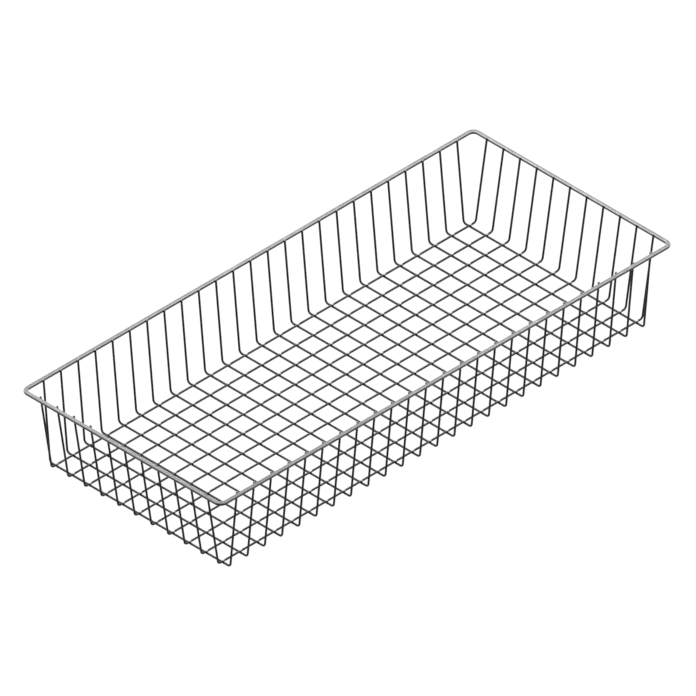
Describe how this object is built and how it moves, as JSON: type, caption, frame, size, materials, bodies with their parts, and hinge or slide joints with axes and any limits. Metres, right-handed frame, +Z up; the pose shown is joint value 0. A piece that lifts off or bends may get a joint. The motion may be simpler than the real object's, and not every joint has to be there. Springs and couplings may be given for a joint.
{
  "type": "wire locker basket",
  "caption": "Shallow open-topped wire basket with outward-leaning walls, a welded mesh floor and a heavy round-cornered rim wire, for a locker or shelf.",
  "frame": {"origin": "middle of the underside, on the plane that the lower wires rest on", "axes": "+X along the long side, +Y across the basket, +Z up out of its open top"},
  "size_m": [0.6604, 0.2926, 0.1008],
  "materials": {
    "rim_steel": "light grey coated steel, satin",
    "mesh_steel": "dark grey coated steel, satin"
  },
  "bodies": {
    "root": {"rim_wire": "rim_steel", "cross_wire_01": "mesh_steel", "cross_wire_02": "mesh_steel", "cross_wire_03": "mesh_steel", "cross_wire_04": "mesh_steel", "cross_wire_05": "mesh_steel", "cross_wire_06": "mesh_steel", "cross_wire_07": "mesh_steel", "cross_wire_08": "mesh_steel", "cross_wire_09": "mesh_steel", "cross_wire_10": "mesh_steel", "cross_wire_11": "mesh_steel", "cross_wire_12": "mesh_steel", "cross_wire_13": "mesh_steel", "cross_wire_14": "mesh_steel", "cross_wire_15": "mesh_steel", "cross_wire_16": "mesh_steel", "cross_wire_17": "mesh_steel", "cross_wire_18": "mesh_steel", "cross_wire_19": "mesh_steel", "cross_wire_20": "mesh_steel", "cross_wire_21": "mesh_steel", "cross_wire_22": "mesh_steel", "cross_wire_23": "mesh_steel", "cross_wire_24": "mesh_steel", "cross_wire_25": "mesh_steel", "long_wire_01": "mesh_steel", "long_wire_02": "mesh_steel", "long_wire_03": "mesh_steel", "long_wire_04": "mesh_steel", "long_wire_05": "mesh_steel", "long_wire_06": "mesh_steel", "long_wire_07": "mesh_steel", "long_wire_08": "mesh_steel", "long_wire_09": "mesh_steel", "long_wire_10": "mesh_steel", "long_wire_11": "mesh_steel"}
  },
  "joints": []
}
